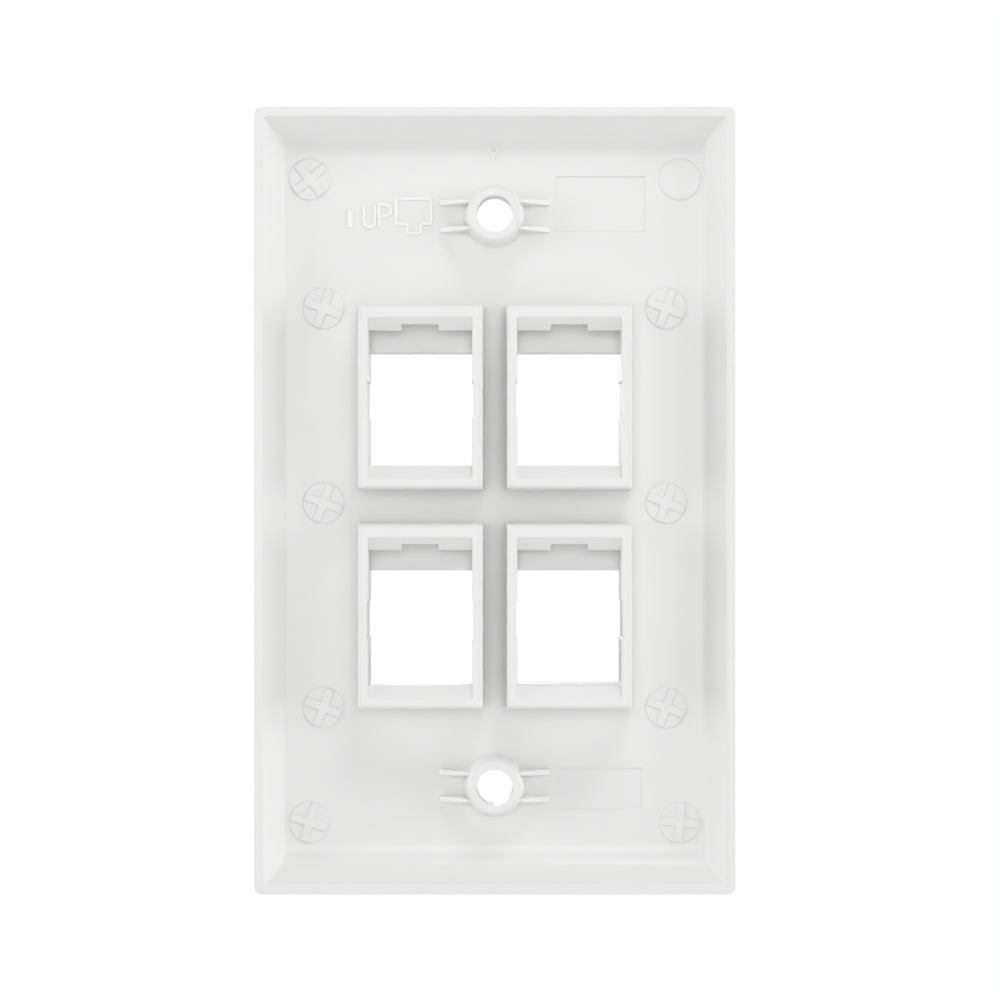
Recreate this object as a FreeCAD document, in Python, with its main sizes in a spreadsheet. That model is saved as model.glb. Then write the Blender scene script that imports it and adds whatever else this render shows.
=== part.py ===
"""Single-gang keystone faceplate with four ports, moulded in one piece.

Frame: the wall plane is Y = 0, the room is towards -Y and the wall box towards +Y, +Z is up.
The origin is midway between the two screw holes. All lengths are in millimetres.
"""
import FreeCAD, Part
import Sketcher
import os
import re

doc = FreeCAD.newDocument("KeystoneFaceplate")

# ---------------------------------------------------------------- driving dimensions
SIZES = [
    # dished cover
    ("plate_width", 69.85),       # standard single-gang width
    ("plate_height", 114.3),      # standard single-gang height
    ("plate_depth", 6.0),         # front face to wall plane
    ("plate_corner", 1.2),        # corner radius of the outline
    ("edge_band", 1.2),           # upright edge between the wall and the front bevel
    ("front_inset", 4.0),         # how far the bevel runs in, seen from the front
    ("front_corner", 2.0),        # corner radius of the front face
    ("front_round", 2.4),         # round between bevel and front face
    ("band_round", 0.5),          # round between edge band and bevel
    ("front_wall", 2.0),          # thickness behind the front face
    ("rim_width", 1.3),           # flat that meets the wall
    ("side_slope", 2.85),         # run of the inner walls left and right
    ("end_slope", 3.4),           # run of the inner walls top and bottom
    ("end_foot", 4.5),            # hollow radius where the end walls meet the floor
    ("side_foot", 0.7),           # hollow radius where the side walls meet the floor
    ("rim_edge", 0.3),            # round where the inner walls reach the rim
    # keystone ports
    ("port_width", 15.0),         # opening for the jack
    ("port_height", 16.5),
    ("port_depth", 10.0),         # front face to the rear end of the port
    ("port_pitch_across", 21.5),
    ("port_pitch_down", 31.7),
    ("port_drop", 2.55),          # centre of the four openings below the screw centre
    ("port_wall", 1.45),          # side wall at its rear end
    ("port_draft", 2.0),          # degrees, outer faces of the port
    ("port_rim_round", 0.45),     # round along the outside of the rear rim
    ("latch_seat", 4.0),          # front face to the front of the latch cavity
    ("latch_room", 4.9),          # height of the latch cavity above the opening
    ("catch_front", 8.0),         # front face to the catching faces of both lips
    ("catch_overhang", 1.85),     # how far the upper lip hangs down
    ("catch_edge", 0.6),          # blunt edge of both lips
    ("lug_seat", 6.5),            # front face to the front of the lug groove
    ("lug_room", 2.0),            # depth of the lug groove below the opening
    ("lug_lead", 1.85),           # height of the lead-in below the lower lip
    ("port_roof", 1.75),          # wall above the latch cavity at its rear end
    ("port_sill", 1.4),           # wall below the lead-in at its rear end
    ("notch_width", 5.3),         # notch in the middle of the upper lip
    ("notch_height", 0.85),
    ("relief_height", 5.4),       # shallow relief in both side walls
    ("relief_depth", 0.18),
    ("relief_lift", 1.2),         # its middle above the middle of the opening
    # screw bosses
    ("screw_spacing", 83.34),     # standard single-gang spacing
    ("screw_bore", 5.3),
    ("sink_diameter", 7.6),       # countersink for an oval head
    ("sink_angle", 82.0),
    ("boss_base", 9.0),           # diameter at the floor
    ("boss_face", 8.0),           # diameter at the rear face, level with the rim
    ("boss_edge", 0.3),           # chamfer of that face's edge
    ("rib_spread", 3.94),         # between the two ribs of a boss
    ("rib_length", 16.2),         # tip to tip, through the boss
    ("rib_base", 0.95),           # rib thickness at the floor
    ("rib_draft", 3.5),           # degrees
    ("rib_end_round", 0.4),
    ("rib_drop", 0.5),            # ribs start this far below the rear face of the boss
    ("rib_tip", 0.5),             # rib height at its tip
    # ejector pads, raised discs with a raised cross
    ("pad_diameter", 6.2),
    ("pad_height", 0.15),
    ("pad_lean", 45.0),           # degrees, edge of a disc
    ("pad_corner_across", 54.2),  # between the pads in the corners
    ("pad_corner_down", 94.2),
    ("pad_side_across", 50.2),    # between the pads beside the ports
    ("pad_upper", 28.2),          # heights of the three pairs beside the ports
    ("pad_middle", -0.3),
    ("pad_lower", -30.3),
    ("cross_width", 1.25),
    ("cross_height", 0.15),
    ("cross_margin", 0.25),       # rim left round the cross
    ("cross_turn", 20.5),         # degrees, most of the crosses
    ("cross_turn_upper", 50.0),   # top corner
    ("cross_turn_lower", 17.0),   # bottom corner
    ("cross_turn_last", 5.0),     # other bottom corner
    # bare fields sunk in the floor beside the bosses
    ("field_across", 15.5),       # centre line to the middle of both fields
    ("upper_field_width", 13.2),
    ("upper_field_height", 8.1),
    ("upper_field_level", 43.5),
    ("lower_field_width", 12.2),
    ("lower_field_height", 6.1),
    ("lower_field_level", -42.2),
    ("field_depth", 0.15),
    ("field_lean", 40.0),         # degrees, walls of both fields
]

sheet = doc.addObject("Spreadsheet::Sheet", "Sizes")
for row, (alias, value) in enumerate(SIZES, start=1):
    sheet.set("A%d" % row, alias)
    sheet.set("B%d" % row, str(value))
    sheet.setAlias("B%d" % row, alias)
doc.recompute()

body = doc.addObject("PartDesign::Body", "Faceplate")
body.Label = "faceplate"


# ---------------------------------------------------------------- sketch helpers
def cells(text):
    """Lets an expression name the sheet's cells, all of them words_with_underscores."""
    return re.sub(r"\b([a-z]+_[a-z_]+)\b", r"Sizes.\1", text)


def number(text):
    """The present value of an expression."""
    value = sheet.evalExpression(cells(text))
    return getattr(value, "Value", value)


def sketch_on(plane, name, offset="0"):
    """A sketch on one of the body's origin planes, moved along that plane's normal."""
    sketch = body.newObject("Sketcher::SketchObject", name)
    origin = [item for item in body.Origin.OriginFeatures if item.Role == plane][0]
    sketch.AttachmentSupport = [(origin, "")]
    sketch.MapMode = "FlatFace"
    sketch.setExpression("AttachmentOffset.Base.z", cells(offset))
    return sketch


def bind(sketch, kind, *where, to):
    """A dimension of the sketch, bound to an expression of the sheet."""
    index = sketch.addConstraint(Sketcher.Constraint(kind, *where, number(to)))
    sketch.setExpression("Constraints[%d]" % index, cells(to))


def pin_point(sketch, edge, end, across, up):
    """Fixes one point of the sketch at a place from the sketch's origin."""
    bind(sketch, "DistanceX", -1, 1, edge, end, to=across)
    bind(sketch, "DistanceY", -1, 1, edge, end, to=up)


def polygon(sketch, corners):
    """A closed outline through corners that are given as pairs of expressions."""
    points = [FreeCAD.Vector(number(across), number(up), 0) for across, up in corners]
    count = len(points)
    sides = [Part.LineSegment(points[i], points[(i + 1) % count]) for i in range(count)]
    edges = sketch.addGeometry(sides, False)
    for i in range(count):
        sketch.addConstraint(Sketcher.Constraint("Coincident", edges[i - 1], 2, edges[i], 1))
    for edge, (across, up) in zip(edges, corners):
        pin_point(sketch, edge, 1, across, up)


def rectangle(sketch, across, up, width, height):
    """A rectangle about a centre."""
    left, right = "%s - (%s) / 2" % (across, width), "%s + (%s) / 2" % (across, width)
    low, high = "%s - (%s) / 2" % (up, height), "%s + (%s) / 2" % (up, height)
    polygon(sketch, [(left, low), (right, low), (right, high), (left, high)])


def rounded_rectangle(sketch, across, up, width, height, radius):
    """A rectangle about a centre with four round corners."""
    reach, rise = number(width) / 2, number(height) / 2
    bend = number(radius)
    middle = FreeCAD.Vector(number(across), number(up), 0)
    quarter = Part.makeCircle(bend).Curve
    arcs, sides = [], []
    for turn, (sx, sy) in enumerate([(1, 1), (-1, 1), (-1, -1), (1, -1)]):
        quarter.Center = middle + FreeCAD.Vector(sx * (reach - bend), sy * (rise - bend), 0)
        start = FreeCAD.Units.Quantity("%d deg" % (90 * turn)).getValueAs("rad").Value
        stop = FreeCAD.Units.Quantity("%d deg" % (90 * turn + 90)).getValueAs("rad").Value
        arcs.append(Part.ArcOfCircle(quarter.copy(), start, stop))
    for turn in range(4):
        sides.append(Part.LineSegment(arcs[turn].EndPoint, arcs[(turn + 1) % 4].StartPoint))
    arc_ids = sketch.addGeometry(arcs, False)
    side_ids = sketch.addGeometry(sides, False)
    for turn in range(4):
        following = arc_ids[(turn + 1) % 4]
        sketch.addConstraint(Sketcher.Constraint("Tangent", arc_ids[turn], 2, side_ids[turn], 1))
        sketch.addConstraint(Sketcher.Constraint("Tangent", side_ids[turn], 2, following, 1))
    for turn in range(1, 4):
        sketch.addConstraint(Sketcher.Constraint("Equal", arc_ids[0], arc_ids[turn]))
    bind(sketch, "Radius", arc_ids[0], to=radius)
    for turn, (sx, sy) in enumerate([("+", "+"), ("-", "+"), ("-", "-"), ("+", "-")]):
        pin_point(sketch, arc_ids[turn], 3,
                  "%s %s ((%s) / 2 - %s)" % (across, sx, width, radius),
                  "%s %s ((%s) / 2 - %s)" % (up, sy, height, radius))


def circle(sketch, across, up, diameter):
    """A circle about a centre."""
    middle = FreeCAD.Vector(number(across), number(up), 0)
    edge = sketch.addGeometry(
        Part.Circle(middle, FreeCAD.Vector(0, 0, 1), number(diameter) / 2), False)
    pin_point(sketch, edge, 3, across, up)
    bind(sketch, "Diameter", edge, to=diameter)


def cross(sketch, across, up, reach, width, turn):
    """An even cross about a centre, turned anticlockwise by an angle in degrees."""
    arm, half = "(%s)" % reach, "(%s / 2)" % width
    east = [(arm, "-" + half), (arm, half), (half, half)]
    corners = []
    for along, side in east:
        corners.append((along, side))
    for quarter in range(1, 4):
        for along, side in corners[-3:]:
            corners.append(("-(%s)" % side, along))
    placed = []
    for along, side in corners:
        placed.append((
            "%s + (%s) * cos(%s * 1deg) - (%s) * sin(%s * 1deg)" % (across, along, turn, side, turn),
            "%s + (%s) * sin(%s * 1deg) + (%s) * cos(%s * 1deg)" % (up, along, turn, side, turn)))
    polygon(sketch, placed)


# ---------------------------------------------------------------- feature helpers
def feature(kind, name, profile, **sizes):
    """A pad or pocket of a sketch; each size is an expression of the sheet."""
    item = body.newObject("PartDesign::" + kind, name)
    item.Profile = profile
    profile.Visibility = False
    for size, expression in sizes.items():
        item.setExpression(size, cells(expression))
    return item


def edges_of(item, test):
    """Names of the edges of a feature that pass the test."""
    return ["Edge%d" % (i + 1) for i, edge in enumerate(item.Shape.Edges) if test(edge)]


def fillet(name, base, test, radius):
    """Rounds every edge of the base feature that passes the test."""
    doc.recompute()
    item = body.newObject("PartDesign::Fillet", name)
    item.Base = (base, edges_of(base, test))
    item.setExpression("Radius", cells(radius))
    return item


def is_near(value, target):
    """True for two lengths that are the same."""
    return abs(value - target) < 1e-3


def lies_at(edge, depth):
    """True for an edge that lies wholly in the plane Y = depth."""
    return is_near(edge.BoundBox.YMin, depth) and is_near(edge.BoundBox.YMax, depth)


def faces_of(item, test):
    """Names of the faces of a feature whose boxes pass the test."""
    return ["Face%d" % (i + 1) for i, face in enumerate(item.Shape.Faces) if test(face.BoundBox)]


# ---------------------------------------------------------------- dished cover
# Upright band that carries the rim, then the bevel up to the smaller front face.
outline = sketch_on("XZ_Plane", "PlateOutline")
rounded_rectangle(outline, "0", "0", "plate_width", "plate_height", "plate_corner")
band = feature("Pad", "EdgeBand", outline, Length="edge_band")

bevel_start = sketch_on("XZ_Plane", "BevelStart", "edge_band")
rounded_rectangle(bevel_start, "0", "0", "plate_width", "plate_height", "plate_corner")
bevel_end = sketch_on("XZ_Plane", "FrontFace", "plate_depth")
rounded_rectangle(bevel_end, "0", "0", "plate_width - 2 * front_inset",
                  "plate_height - 2 * front_inset", "front_corner")
bevel = body.newObject("PartDesign::AdditiveLoft", "FrontBevel")
bevel.Profile = bevel_start
bevel.Sections = [bevel_end]
bevel.Ruled = True

front_y = -number("plate_depth")
band_y = -number("edge_band")
floor_y = -number("plate_depth - front_wall")
soft_front = fillet("FrontRound", bevel, lambda edge: lies_at(edge, front_y), "front_round")
fillet("BandRound", soft_front, lambda edge: lies_at(edge, band_y), "band_round")

# The hollow behind the front face. It is sunk with upright walls, which then lean out to
# the rim and meet on the diagonals.
hollow_floor = sketch_on("XZ_Plane", "HollowFloor")
rectangle(hollow_floor, "0", "0", "plate_width - 2 * rim_width - 2 * side_slope",
          "plate_height - 2 * rim_width - 2 * end_slope")
hollow = feature("Pocket", "Hollow", hollow_floor, Length="plate_depth - front_wall")
hollow.Reversed = True


def lean(name, base, run, test):
    """Leans two facing walls of the hollow outwards; their feet stay on the floor."""
    doc.recompute()
    item = body.newObject("PartDesign::Draft", name)
    item.Base = (base, faces_of(base, lambda box: is_near(box.YMin, floor_y)
                                and is_near(box.YMax, 0) and test(box)))
    item.NeutralPlane = (base, faces_of(base, lambda box: is_near(box.YMin, floor_y)
                                        and is_near(box.YMax, floor_y)))
    item.setExpression("Angle", cells("atan(%s / (plate_depth - front_wall))" % run))
    doc.recompute()
    item.touch()
    doc.recompute()
    return item


end_slopes = lean("EndSlopes", hollow, "end_slope", lambda box: is_near(box.ZLength, 0))
side_slopes = lean("SideSlopes", end_slopes, "side_slope", lambda box: is_near(box.XLength, 0))


def end_foot(edge):
    """Foot of the top and bottom inner walls."""
    return lies_at(edge, floor_y) and edge.BoundBox.XLength > edge.BoundBox.ZLength


def side_foot(edge):
    """Straight foot of the left and right inner walls."""
    return lies_at(edge, floor_y) and edge.BoundBox.ZLength > number("plate_height") / 2


end_feet = fillet("EndFeet", side_slopes, end_foot, "end_foot")
side_feet = fillet("SideFeet", end_feet, side_foot, "side_foot")


def rim_edge(edge):
    """Inner edge of the rim."""
    middle = edge.BoundBox.Center
    return lies_at(edge, 0) and (is_near(abs(middle.x), number("plate_width / 2 - rim_width"))
                                 or is_near(abs(middle.z), number("plate_height / 2 - rim_width")))


fillet("RimEdge", side_feet, rim_edge, "rim_edge")

# ---------------------------------------------------------------- screw bosses
# Two thin ribs run through the boss and slope down to their round ends.
BOSS_Z = "(screw_spacing / 2)"
BOSS_RISE = "(plate_depth - front_wall)"
RIB_RISE = "(%s - rib_drop)" % BOSS_RISE

rib_plan = sketch_on("XZ_Plane", "RibPlan", "plate_depth - front_wall")
for side in ("+", "-"):
    rounded_rectangle(rib_plan, "0", "%s %s rib_spread / 2" % (BOSS_Z, side),
                      "rib_length", "rib_base", "rib_end_round")
ribs = feature("Pad", "Ribs", rib_plan, Length=RIB_RISE, TaperAngle="-rib_draft")
ribs.Reversed = True

slope_side = sketch_on("XY_Plane", "RibSlope", BOSS_Z)
for side in ("", "-"):
    polygon(slope_side, [
        (side + "(boss_face / 2)", "-rib_drop"),
        (side + "(rib_length / 2)", "front_wall - plate_depth + rib_tip"),
        (side + "(rib_length / 2 + rib_tip)", "front_wall - plate_depth + rib_tip"),
        (side + "(rib_length / 2 + rib_tip)", "rib_tip - rib_drop"),
        (side + "(boss_face / 2)", "rib_tip - rib_drop"),
    ])
rib_slopes = feature("Pocket", "RibSlopes", slope_side, Length="rib_spread + 2 * rib_base")
rib_slopes.SideType = "Symmetric"

boss_plan = sketch_on("XZ_Plane", "BossPlan", "plate_depth - front_wall")
circle(boss_plan, "0", BOSS_Z, "boss_base")
boss = feature("Pad", "ScrewBoss", boss_plan, Length=BOSS_RISE,
               TaperAngle="-atan((boss_base - boss_face) / 2 / %s)" % BOSS_RISE)
boss.Reversed = True


def boss_edge(edge):
    """Edge of the boss's rear face."""
    return lies_at(edge, 0) and is_near(edge.BoundBox.XLength, number("boss_face"))


mirror = body.newObject("PartDesign::Mirrored", "LowerBoss")
mirror.Originals = [ribs, rib_slopes, boss]
mirror.MirrorPlane = (rib_plan, ["H_Axis"])
body.Tip = mirror
doc.recompute()

boss_edges = body.newObject("PartDesign::Chamfer", "BossEdges")
boss_edges.Base = (mirror, edges_of(mirror, boss_edge))
boss_edges.setExpression("Size", cells("boss_edge"))
doc.recompute()

# Countersunk clearance holes for the two cover screws, made from the front face.
hole_plan = sketch_on("XZ_Plane", "ScrewHoles", "plate_depth")
circle(hole_plan, "0", BOSS_Z, "screw_bore")
circle(hole_plan, "0", "-" + BOSS_Z, "screw_bore")
doc.recompute()
screw_holes = body.newObject("PartDesign::Hole", "CoverScrewHoles")
screw_holes.Profile = hole_plan
screw_holes.ThreadType = 0
screw_holes.DepthType = "ThroughAll"
screw_holes.setExpression("Diameter", cells("screw_bore"))
screw_holes.HoleCutType = "Countersink"
screw_holes.HoleCutCustomValues = True
screw_holes.setExpression("HoleCutDiameter", cells("sink_diameter"))
screw_holes.setExpression("HoleCutCountersinkAngle", cells("sink_angle"))

# ---------------------------------------------------------------- ejector pads and fields
pad_places = []
for side in ("", "-"):
    pad_places.append((side + "pad_corner_across / 2", "pad_corner_down / 2"))
    pad_places.append((side + "pad_corner_across / 2", "-pad_corner_down / 2"))
    for level in ("pad_upper", "pad_middle", "pad_lower"):
        pad_places.append((side + "pad_side_across / 2", level))

pad_plan = sketch_on("XZ_Plane", "PadPlan", "plate_depth - front_wall")
for across, up in pad_places:
    circle(pad_plan, across, up, "pad_diameter")
pads = feature("Pad", "EjectorPads", pad_plan, Length="pad_height", TaperAngle="-pad_lean")
pads.Reversed = True

# Every pad has a cross but the one in the top corner at -X.
turns = {
    ("pad_corner_across / 2", "pad_corner_down / 2"): "cross_turn_upper",
    ("pad_corner_across / 2", "-pad_corner_down / 2"): "cross_turn_lower",
    ("-pad_corner_across / 2", "-pad_corner_down / 2"): "cross_turn_last",
}
cross_plans = []
for place in pad_places:
    if place != ("-pad_corner_across / 2", "pad_corner_down / 2"):
        plan = sketch_on("XZ_Plane", "CrossPlan", "plate_depth - front_wall - pad_height")
        cross(plan, *place, "pad_diameter / 2 - cross_margin", "cross_width",
              turns.get(place, "cross_turn"))
        cross_plans.append(plan)
all_crosses = body.newObject("PartDesign::SubShapeBinder", "CrossPlans")
all_crosses.Support = [(plan, "") for plan in cross_plans]
all_crosses.MakeFace = True
crosses = feature("Pad", "PadCrosses", all_crosses, Length="cross_height")

field_plan = sketch_on("XZ_Plane", "FieldPlan", "plate_depth - front_wall")
for name in ("upper", "lower"):
    rectangle(field_plan, "-field_across", name + "_field_level", name + "_field_width",
              name + "_field_height")
fields = feature("Pocket", "BareFields", field_plan, Length="field_depth",
                 TaperAngle="-field_lean")
fields.Reversed = True

# ---------------------------------------------------------------- keystone port
# One port at -X, +Z; its opening's centre is the port's own reference.
PORT_X = "(-port_pitch_across / 2)"
PORT_Z = "(port_pitch_down / 2 - port_drop)"
MOUTH_TOP = "(port_height / 2 + latch_room)"
MOUTH_LOW = "(-port_height / 2 - lug_lead)"
BOX_LEAN = "(port_depth - front_wall) * tan(port_draft * 1deg)"
BOX_SIDE = "(port_width / 2 + port_wall)"

# The box grows a little from its rear rim, Ymax, to the floor, Ymin.
port_box = body.newObject("PartDesign::AdditiveWedge", "PortBox")
BOX_REACH = {
    "Ymin": "front_wall - plate_depth",
    "Ymax": "port_depth - plate_depth",
    "X2min": "%s - %s" % (PORT_X, BOX_SIDE),
    "X2max": "%s + %s" % (PORT_X, BOX_SIDE),
    "Z2min": "%s + %s - port_sill" % (PORT_Z, MOUTH_LOW),
    "Z2max": "%s + %s + port_roof" % (PORT_Z, MOUTH_TOP),
}
for side in ("X2min", "Z2min"):
    BOX_REACH[side.replace("2", "")] = "%s - %s" % (BOX_REACH[side], BOX_LEAN)
for side in ("X2max", "Z2max"):
    BOX_REACH[side.replace("2", "")] = "%s + %s" % (BOX_REACH[side], BOX_LEAN)
for side, reach in BOX_REACH.items():
    port_box.setExpression(side, cells(reach))

# Side section of the passage: opening, latch cavity, upper lip with its lead-in,
# then the lower lip and the groove for the jack's fixed lug.
OVERRUN = "1"
section = sketch_on("YZ_Plane", "PortSection", PORT_X)


def at(depth, height):
    """A point of the section, by its distance behind the front face and from the centre."""
    return "%s - plate_depth" % depth, "%s + %s" % (PORT_Z, height)


HALF = "(port_height / 2)"
CATCH_Z = "(%s - catch_overhang)" % MOUTH_TOP
polygon(section, [
    at("0 - " + OVERRUN, HALF),
    at("latch_seat", HALF),
    at("latch_seat", MOUTH_TOP),
    at("catch_front", MOUTH_TOP),
    at("catch_front", CATCH_Z),
    at("catch_front + catch_edge", CATCH_Z),
    at("port_depth", MOUTH_TOP),
    at("port_depth + " + OVERRUN, MOUTH_TOP),
    at("port_depth + " + OVERRUN, MOUTH_LOW),
    at("port_depth", MOUTH_LOW),
    at("catch_front + catch_edge", "-" + HALF),
    at("catch_front", "-" + HALF),
    at("catch_front", "-%s - lug_room" % HALF),
    at("lug_seat", "-%s - lug_room" % HALF),
    at("lug_seat", "-" + HALF),
    at("0 - " + OVERRUN, "-" + HALF),
])
passage = feature("Pocket", "PortPassage", section, Length="port_width")
passage.SideType = "Symmetric"

notch_plan = sketch_on("XZ_Plane", "CatchNotchPlan", "plate_depth - port_depth")
NOTCH_TOP = "(%s + %s + notch_height)" % (PORT_Z, CATCH_Z)
NOTCH_LOW = "(%s + %s)" % (PORT_Z, HALF)
rectangle(notch_plan, PORT_X, "(%s + %s) / 2" % (NOTCH_TOP, NOTCH_LOW), "notch_width",
          "%s - %s" % (NOTCH_TOP, NOTCH_LOW))
notch = feature("Pocket", "CatchNotch", notch_plan, Length="port_depth - catch_front")
notch.Reversed = True

relief_plan = sketch_on("XZ_Plane", "SideReliefPlan", "plate_depth - port_depth")
rectangle(relief_plan, PORT_X, "%s + relief_lift" % PORT_Z, "port_width + 2 * relief_depth",
          "relief_height")
relief = feature("Pocket", "SideRelief", relief_plan, Length="port_depth + " + OVERRUN)
relief.Reversed = True

# Two columns and two rows of the same port.
grid = body.newObject("PartDesign::MultiTransform", "PortGrid")
grid.Originals = [port_box, passage, notch, relief]
columns = body.newObject("PartDesign::LinearPattern", "PortColumns")
columns.Direction = (notch_plan, ["H_Axis"])
columns.setExpression("Length", cells("port_pitch_across"))
columns.Occurrences = 2
rows = body.newObject("PartDesign::LinearPattern", "PortRows")
rows.Direction = (notch_plan, ["V_Axis"])
rows.Reversed = True
rows.setExpression("Length", cells("port_pitch_down"))
rows.Occurrences = 2
grid.Transformations = [columns, rows]
body.Tip = grid
rear_y = number("port_depth - plate_depth")


def port_rim(edge):
    """Outer edge of a port's rear rim."""
    if not lies_at(edge, rear_y):
        return False
    middle = edge.BoundBox.Center
    across = abs(abs(middle.x) - number("port_pitch_across / 2"))
    over = abs(middle.z + number("port_drop")) - number("port_pitch_down / 2")
    if middle.z + number("port_drop") < 0:
        over = -over
    inside_across = across < number("port_width / 2 + relief_depth") + 1e-3
    inside_up = number(MOUTH_LOW) - 1e-3 < over < number(MOUTH_TOP) + 1e-3
    return not (inside_across and inside_up)


fillet("PortRimRound", grid, port_rim, "port_rim_round")

doc.recompute()

# ---------------------------------------------------------------- checks and export
CUTS = ("Pocket", "Hole", "SubtractiveLoft")
ADDS = ("Pad", "AdditiveLoft", "AdditiveWedge")
for item in doc.Objects:
    if {"Invalid", "Error"} & set(item.State):
        raise RuntimeError("%s failed: %s" % (item.Name, item.State))
    kind = item.TypeId.split("::")[-1]
    if kind in CUTS + ADDS:
        before = item.BaseFeature.Shape.Volume if item.BaseFeature else 0.0
        change = item.Shape.Volume - before
        if change == 0 or (change > 0) != (kind in ADDS):
            raise RuntimeError("%s changes the volume by %.3f" % (item.Name, change))
if body.Shape.isNull() or not body.Shape.isValid() or len(body.Shape.Solids) != 1:
    raise RuntimeError("the faceplate is not one sound solid")

os.makedirs("parts", exist_ok=True)
body.Shape.exportStep("parts/%s.step" % body.Label)
print("faceplate: %.1f cubic millimetres" % body.Shape.Volume)
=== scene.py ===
import math

import bmesh
import bpy
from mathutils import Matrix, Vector


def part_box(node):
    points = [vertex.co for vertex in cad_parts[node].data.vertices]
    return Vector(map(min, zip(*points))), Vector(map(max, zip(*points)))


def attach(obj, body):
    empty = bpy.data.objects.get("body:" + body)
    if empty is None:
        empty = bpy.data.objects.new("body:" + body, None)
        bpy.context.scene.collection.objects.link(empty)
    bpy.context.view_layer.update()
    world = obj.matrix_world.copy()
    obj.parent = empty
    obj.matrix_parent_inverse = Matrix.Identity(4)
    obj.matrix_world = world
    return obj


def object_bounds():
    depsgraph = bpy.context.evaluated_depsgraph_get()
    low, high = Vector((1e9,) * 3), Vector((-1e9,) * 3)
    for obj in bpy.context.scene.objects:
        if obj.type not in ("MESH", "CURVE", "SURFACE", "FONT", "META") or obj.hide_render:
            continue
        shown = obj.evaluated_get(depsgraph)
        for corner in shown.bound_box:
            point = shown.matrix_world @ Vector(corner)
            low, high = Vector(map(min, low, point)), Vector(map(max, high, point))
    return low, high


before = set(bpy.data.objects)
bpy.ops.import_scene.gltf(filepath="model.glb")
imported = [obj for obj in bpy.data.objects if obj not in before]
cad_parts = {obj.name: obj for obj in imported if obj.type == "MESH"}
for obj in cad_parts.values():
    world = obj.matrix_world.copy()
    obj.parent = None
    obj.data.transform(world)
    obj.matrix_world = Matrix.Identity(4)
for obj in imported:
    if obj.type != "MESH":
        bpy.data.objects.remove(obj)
cad_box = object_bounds()
scene = bpy.context.scene

# ---------------------------------------------------------------- camera
# Looks squarely at the back of the plate, from +Y towards -Y, on the line of its centre.
CAMERA_DISTANCE = 0.43
LENS, SENSOR = 106.6, 36.0         # mm
SHIFT_ACROSS, SHIFT_UP = 0.00525, 0.00075
NEAREST = 0.01

camera_data = bpy.data.cameras.new("camera")
camera_data.sensor_width = SENSOR
camera_data.lens = LENS
camera_data.shift_x = SHIFT_ACROSS
camera_data.shift_y = SHIFT_UP
camera_data.clip_start = NEAREST
camera = bpy.data.objects.new("camera", camera_data)
camera.location = (0.0, CAMERA_DISTANCE, 0.0)
camera.rotation_euler = (math.radians(90), 0.0, math.radians(180))
scene.collection.objects.link(camera)
scene.camera = camera

# ---------------------------------------------------------------- moulded plate
# The whole faceplate is one injection moulding in white ABS: a dished cover with four
# keystone ports, two screw bosses, ejector pads and two bare fields, straight from the mould.
# Its finish is satin, with faint flow clouds and edges that the mould softens a little.
PALE = (0.845, 0.845, 0.84, 1.0)
PALER = (0.865, 0.865, 0.862, 1.0)
CLOUD_SCALE, POLISH_SCALE, GRAIN_SCALE = 45.0, 180.0, 2500.0
SMOOTHEST, ROUGHEST = 0.30, 0.42
GRAIN_HEIGHT, GRAIN_STRENGTH = 0.00002, 0.2
MOULDED_EDGE = 0.0002              # radius that the mould leaves on an edge

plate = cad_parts["faceplate"]

white_abs = bpy.data.materials.new("white_abs")
white_abs.use_nodes = True
nodes, links = white_abs.node_tree.nodes, white_abs.node_tree.links
nodes.clear()
coord = nodes.new("ShaderNodeTexCoord")
shader = nodes.new("ShaderNodeBsdfPrincipled")
shader.inputs["Diffuse Roughness"].default_value = 1.0
cloud = nodes.new("ShaderNodeTexNoise")
cloud.inputs["Scale"].default_value = CLOUD_SCALE
cloud.inputs["Detail"].default_value = 3.0
colour = nodes.new("ShaderNodeMix")
colour.data_type = "RGBA"
colour.inputs["A"].default_value = PALE
colour.inputs["B"].default_value = PALER
polish = nodes.new("ShaderNodeTexNoise")
polish.inputs["Scale"].default_value = POLISH_SCALE
polish.inputs["Detail"].default_value = 4.0
gloss = nodes.new("ShaderNodeMapRange")
gloss.inputs["To Min"].default_value = SMOOTHEST
gloss.inputs["To Max"].default_value = ROUGHEST
grain = nodes.new("ShaderNodeTexNoise")
grain.inputs["Scale"].default_value = GRAIN_SCALE
grain.inputs["Detail"].default_value = 2.0
bump = nodes.new("ShaderNodeBump")
bump.inputs["Strength"].default_value = GRAIN_STRENGTH
bump.inputs["Distance"].default_value = GRAIN_HEIGHT
edge = nodes.new("ShaderNodeBevel")
edge.samples = 6
edge.inputs["Radius"].default_value = MOULDED_EDGE
out = nodes.new("ShaderNodeOutputMaterial")
for texture in (cloud, grain, polish):
    links.new(coord.outputs["Object"], texture.inputs["Vector"])
links.new(cloud.outputs["Fac"], colour.inputs["Factor"])
links.new(colour.outputs["Result"], shader.inputs["Base Color"])
links.new(polish.outputs["Fac"], gloss.inputs["Value"])
links.new(gloss.outputs["Result"], shader.inputs["Roughness"])
links.new(grain.outputs["Fac"], bump.inputs["Height"])
links.new(edge.outputs["Normal"], bump.inputs["Normal"])
links.new(bump.outputs["Normal"], shader.inputs["Normal"])
links.new(shader.outputs[0], out.inputs["Surface"])
for place in plate.material_slots:
    place.material = white_abs

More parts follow.
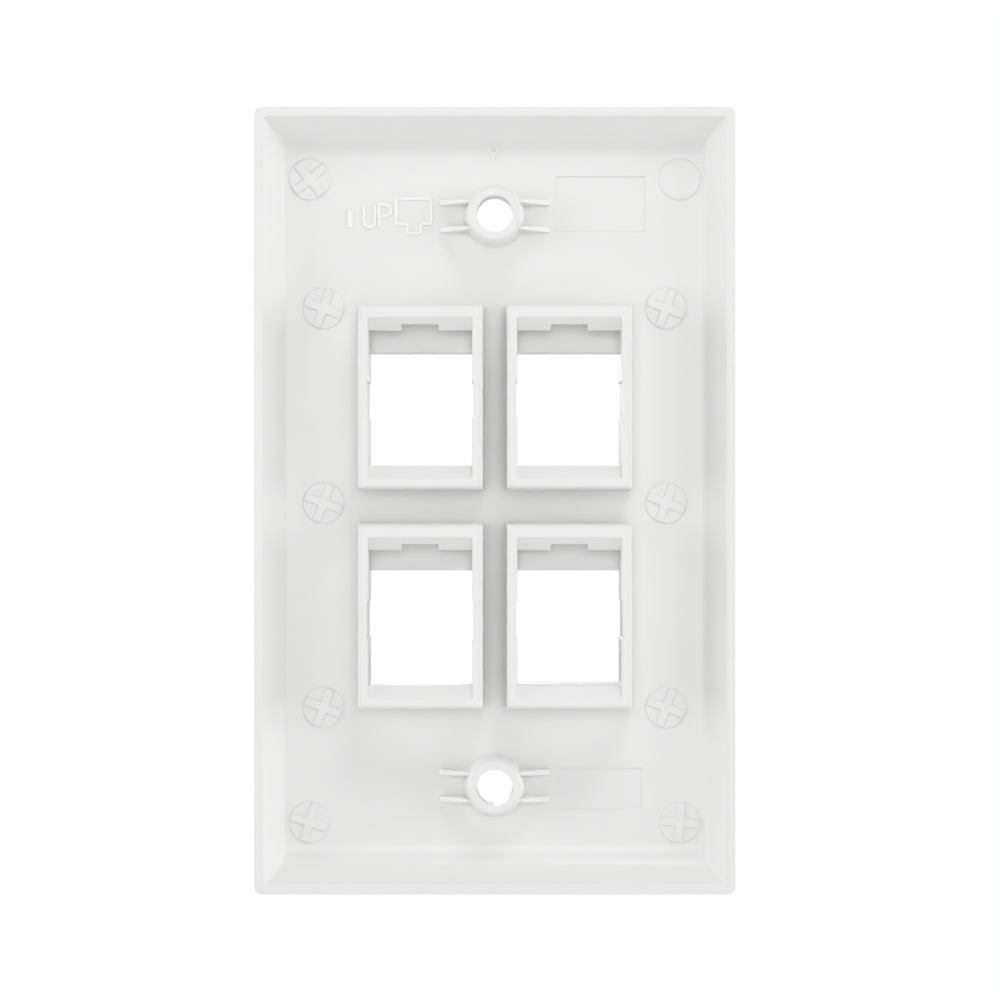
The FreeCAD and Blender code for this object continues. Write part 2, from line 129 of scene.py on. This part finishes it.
# ---------------------------------------------------------------- raised signs
# An arrow with the word UP, and the outline of a jack with its latch side down. They are part
# of the moulding: the arrow is a flat shape and the rest are low flat-topped lines, all in the
# plate's plastic with a glossier finish, as from polished cuts in the mould.
FRONT_WALL = 0.002
FLOOR_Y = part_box("faceplate")[0].y + FRONT_WALL      # the inner face of the front wall
STROKE_WIDTH = 0.00052
STROKE_HEIGHT = 0.00015
STROKE_STEEPNESS = 2.2             # of its sides, against those of a half round
STROKE_CORNER = 0.22               # radius of a stroke's turns, mm
GENTLE_TURN = 150                  # degrees between two strokes, past which a turn stays
ARROW = [(20.80, 40.00), (21.68, 40.00), (21.68, 41.80), (22.01, 41.80), (21.24, 43.00),
         (20.47, 41.80), (20.80, 41.80)]        # its outline, mm
ARROW_EDGE = 0.00008               # round along its top
POLISHED_SMOOTHEST, POLISHED_ROUGHEST = 0.12, 0.20
POLISHED_EDGE = 0.00005

polished_abs = white_abs.copy()
polished_abs.name = "polished_abs"
for node in polished_abs.node_tree.nodes:
    if node.type == "MAP_RANGE":
        node.inputs["To Min"].default_value = POLISHED_SMOOTHEST
        node.inputs["To Max"].default_value = POLISHED_ROUGHEST
    elif node.type == "BEVEL":
        node.inputs["Radius"].default_value = POLISHED_EDGE


def arc(x, z, radius, start, stop, steps=12):
    """Points of an arc about (x, z), angles in degrees."""
    angles = [math.radians(start + (stop - start) * i / steps) for i in range(steps + 1)]
    return [(x + radius * math.cos(a), z + radius * math.sin(a)) for a in angles]


def turned(points, closed):
    """The same line with every sharp turn rounded as the cutter leaves it."""
    line = []
    last = len(points) - 1
    for i, point in enumerate(points):
        here = Vector(point)
        if not closed and i in (0, last):
            line.append(point)
            continue
        before = Vector(points[i - 1]) - here
        after = Vector(points[(i + 1) % len(points)]) - here
        reach = min(STROKE_CORNER, before.length / 2, after.length / 2)
        if before.angle(after) > math.radians(GENTLE_TURN):
            line.append(point)
            continue
        start, stop = here + before.normalized() * reach, here + after.normalized() * reach
        for step in range(4):
            t = step / 3
            line.append(tuple((1 - t) ** 2 * start + 2 * t * (1 - t) * here + t * t * stop))
    return line


def ridge(name, strokes, settle=None):
    """A low raised line. A stroke is a list of (x, z) in mm, closed where it ends as it starts.
    It stands on the floor, or on the surface whose y the settle function gives."""
    curve = bpy.data.curves.new(name, "CURVE")
    curve.dimensions = "3D"
    curve.bevel_depth = STROKE_WIDTH / 2
    curve.bevel_resolution = 6
    curve.use_fill_caps = True
    for stroke in strokes:
        closed = stroke[0] == stroke[-1]
        points = turned(stroke[:-1] if closed else stroke, closed)
        line = curve.splines.new("POLY")
        line.points.add(len(points) - 1)
        line.use_cyclic_u = closed
        for point, (x, z) in zip(line.points, points):
            point.co = (x / 1000, 0.0, z / 1000, 1.0)
    holder = bpy.data.objects.new(name + "_line", curve)
    scene.collection.objects.link(holder)
    bpy.context.view_layer.update()
    mesh = bpy.data.meshes.new_from_object(
        holder.evaluated_get(bpy.context.evaluated_depsgraph_get()))
    bpy.data.objects.remove(holder)
    for vertex in mesh.vertices:
        base = settle(vertex.co.x, vertex.co.z) if settle else FLOOR_Y
        vertex.co.y = base + min(vertex.co.y * STROKE_STEEPNESS, STROKE_HEIGHT)
    for face in mesh.polygons:
        face.use_smooth = True
    mesh.materials.clear()
    mesh.materials.append(polished_abs)
    piece = bpy.data.objects.new(name, mesh)
    scene.collection.objects.link(piece)
    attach(piece, "root")


shape = bmesh.new()
outline = shape.faces.new([shape.verts.new((x / 1000, FLOOR_Y, z / 1000)) for x, z in ARROW])
lifted = bmesh.ops.extrude_face_region(shape, geom=[outline])["geom"]
bmesh.ops.translate(shape, verts=[part for part in lifted if isinstance(part, bmesh.types.BMVert)],
                    vec=(0.0, STROKE_HEIGHT, 0.0))
top_edges = [part for part in lifted if isinstance(part, bmesh.types.BMEdge)]
bmesh.ops.bevel(shape, geom=top_edges, offset=ARROW_EDGE, segments=3, profile=0.5,
                affect="EDGES", material=-1)
bmesh.ops.recalc_face_normals(shape, faces=shape.faces)
arrow_mesh = bpy.data.meshes.new("sign_arrow")
shape.to_mesh(arrow_mesh)
shape.free()
arrow_mesh.materials.append(polished_abs)
arrow = bpy.data.objects.new("sign_arrow", arrow_mesh)
scene.collection.objects.link(arrow)
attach(arrow, "root")

ridge("sign_letters", [
    [(19.18, 43.25)] + arc(18.37, 40.93, 0.81, 360, 180) + [(17.56, 43.25)],
    [(16.95, 40.15), (16.95, 43.43)] + arc(16.03, 42.575, 0.855, 90, 270) + [(16.7, 41.72)],
])
ridge("sign_jack", [
    [(14.47, 44.29), (9.33, 44.29), (9.33, 40.57), (10.91, 40.57), (10.91, 39.21),
     (12.80, 39.21), (12.80, 40.57), (14.47, 40.57), (14.47, 44.29)],
])

# ---------------------------------------------------------------- gate mark
# Where the plastic ran into the mould, a small ring and the stub of the gate are left on the
# curved foot of the top wall. Both belong to the moulding.
GATE_X, GATE_Z = 0.15, 51.45       # mm
GATE_RADIUS = 0.6
STUB_START, STUB_END = (GATE_X + 0.2, GATE_Z - 0.75), (GATE_X, GATE_Z - 1.35)
ABOVE_PLATE = 0.02


def on_the_plate(x, z):
    """The y of the plate's rear surface at (x, z)."""
    return plate.ray_cast(Vector((x, ABOVE_PLATE, z)), Vector((0, -1, 0)))[1].y


ridge("gate_ring", [arc(GATE_X, GATE_Z, GATE_RADIUS, 60, 420, 20)], on_the_plate)
ridge("gate_stub", [[STUB_START, STUB_END]], on_the_plate)

# ---------------------------------------------------------------- light
# Soft studio light on the back of the plate: a light near the camera, a key light from above,
# two low ones from the sides that reach the slopes behind the rim, and an even room. One more
# soft light stands on the other side, for the front of the plate.
ROOM_LEVEL = 0.26


def area_light(name, place, size, power):
    """A square area light that points at the middle of the plate."""
    data = bpy.data.lights.new(name, "AREA")
    data.shape = "SQUARE"
    data.size = size
    data.energy = power
    light = bpy.data.objects.new(name, data)
    light.location = place
    light.rotation_euler = (-Vector(place)).to_track_quat("-Z", "Y").to_euler()
    scene.collection.objects.link(light)


area_light("camera_side_light", (0.0, 1.09, 0.1), 0.5, 3.1)
area_light("key_light", (-0.25, 0.52, 0.92), 0.4, 2.8)
area_light("right_light", (-1.05, 0.3, 0.1), 0.6, 3.9)
area_light("left_light", (1.05, 0.3, 0.1), 0.6, 4.2)
area_light("front_side_light", (0.35, -0.95, 0.45), 0.8, 6.0)

world = bpy.data.worlds.new("room")
world.use_nodes = True
scene.world = world
nodes, links = world.node_tree.nodes, world.node_tree.links
nodes.clear()
path = nodes.new("ShaderNodeLightPath")
seen = nodes.new("ShaderNodeMath")
seen.operation = "MAXIMUM"
seen_more = nodes.new("ShaderNodeMath")
seen_more.operation = "MAXIMUM"
room = nodes.new("ShaderNodeBackground")
room.inputs["Strength"].default_value = ROOM_LEVEL
white = nodes.new("ShaderNodeBackground")
white.inputs["Strength"].default_value = 1.0
for background in (room, white):
    background.inputs["Color"].default_value = (1.0, 1.0, 1.0, 1.0)
mix = nodes.new("ShaderNodeMixShader")
out = nodes.new("ShaderNodeOutputWorld")
links.new(path.outputs["Is Camera Ray"], seen.inputs[0])
links.new(path.outputs["Is Glossy Ray"], seen.inputs[1])
links.new(seen.outputs[0], seen_more.inputs[0])
links.new(path.outputs["Is Transmission Ray"], seen_more.inputs[1])
links.new(seen_more.outputs[0], mix.inputs["Fac"])
links.new(room.outputs[0], mix.inputs[1])
links.new(white.outputs[0], mix.inputs[2])
links.new(mix.outputs[0], out.inputs["Surface"])
scene.view_settings.view_transform = "Standard"

# ---------------------------------------------------------------- floor
# A pale table top below the held plate. It keeps the plate's soft shadow close by and turns
# into plain white further off, so that no edge of it shows behind the plate.
TABLE_DROP = 0.12
TABLE_SIZE = 6.0
TABLE_COLOUR = (0.86, 0.86, 0.86, 1.0)
TABLE_GLOW = 0.35
FADE_FROM, FADE_TO = 0.15, 0.45    # distance over which it turns into plain white

table_shape = bmesh.new()
bmesh.ops.create_grid(table_shape, x_segments=1, y_segments=1, size=TABLE_SIZE)
table_mesh = bpy.data.meshes.new("table")
table_shape.to_mesh(table_mesh)
table_shape.free()
table = bpy.data.objects.new("table", table_mesh)
table.location = (0.0, 0.0, cad_box[0].z - TABLE_DROP)
scene.collection.objects.link(table)

table_top = bpy.data.materials.new("table_top")
table_top.use_nodes = True
nodes, links = table_top.node_tree.nodes, table_top.node_tree.links
nodes.clear()
top = nodes.new("ShaderNodeBsdfDiffuse")
top.inputs["Color"].default_value = TABLE_COLOUR
glow = nodes.new("ShaderNodeEmission")
glow.inputs["Strength"].default_value = TABLE_GLOW
plain = nodes.new("ShaderNodeEmission")
plain.inputs["Strength"].default_value = 1.0
both = nodes.new("ShaderNodeAddShader")
spot = nodes.new("ShaderNodeTexCoord")
reach = nodes.new("ShaderNodeVectorMath")
reach.operation = "LENGTH"
fade = nodes.new("ShaderNodeMapRange")
fade.inputs["From Min"].default_value = FADE_FROM
fade.inputs["From Max"].default_value = FADE_TO
fade.interpolation_type = "SMOOTHSTEP"
path = nodes.new("ShaderNodeLightPath")
far = nodes.new("ShaderNodeMath")
far.operation = "MULTIPLY"
mix_glow = nodes.new("ShaderNodeMixShader")
mix_far = nodes.new("ShaderNodeMixShader")
out = nodes.new("ShaderNodeOutputMaterial")
links.new(top.outputs[0], both.inputs[0])
links.new(glow.outputs[0], both.inputs[1])
links.new(path.outputs["Is Camera Ray"], mix_glow.inputs["Fac"])
links.new(top.outputs[0], mix_glow.inputs[1])
links.new(both.outputs[0], mix_glow.inputs[2])
links.new(spot.outputs["Object"], reach.inputs[0])
links.new(reach.outputs["Value"], fade.inputs["Value"])
links.new(fade.outputs["Result"], far.inputs[0])
links.new(path.outputs["Is Camera Ray"], far.inputs[1])
links.new(far.outputs[0], mix_far.inputs["Fac"])
links.new(mix_glow.outputs[0], mix_far.inputs[1])
links.new(plain.outputs[0], mix_far.inputs[2])
links.new(mix_far.outputs[0], out.inputs["Surface"])
table_mesh.materials.append(table_top)
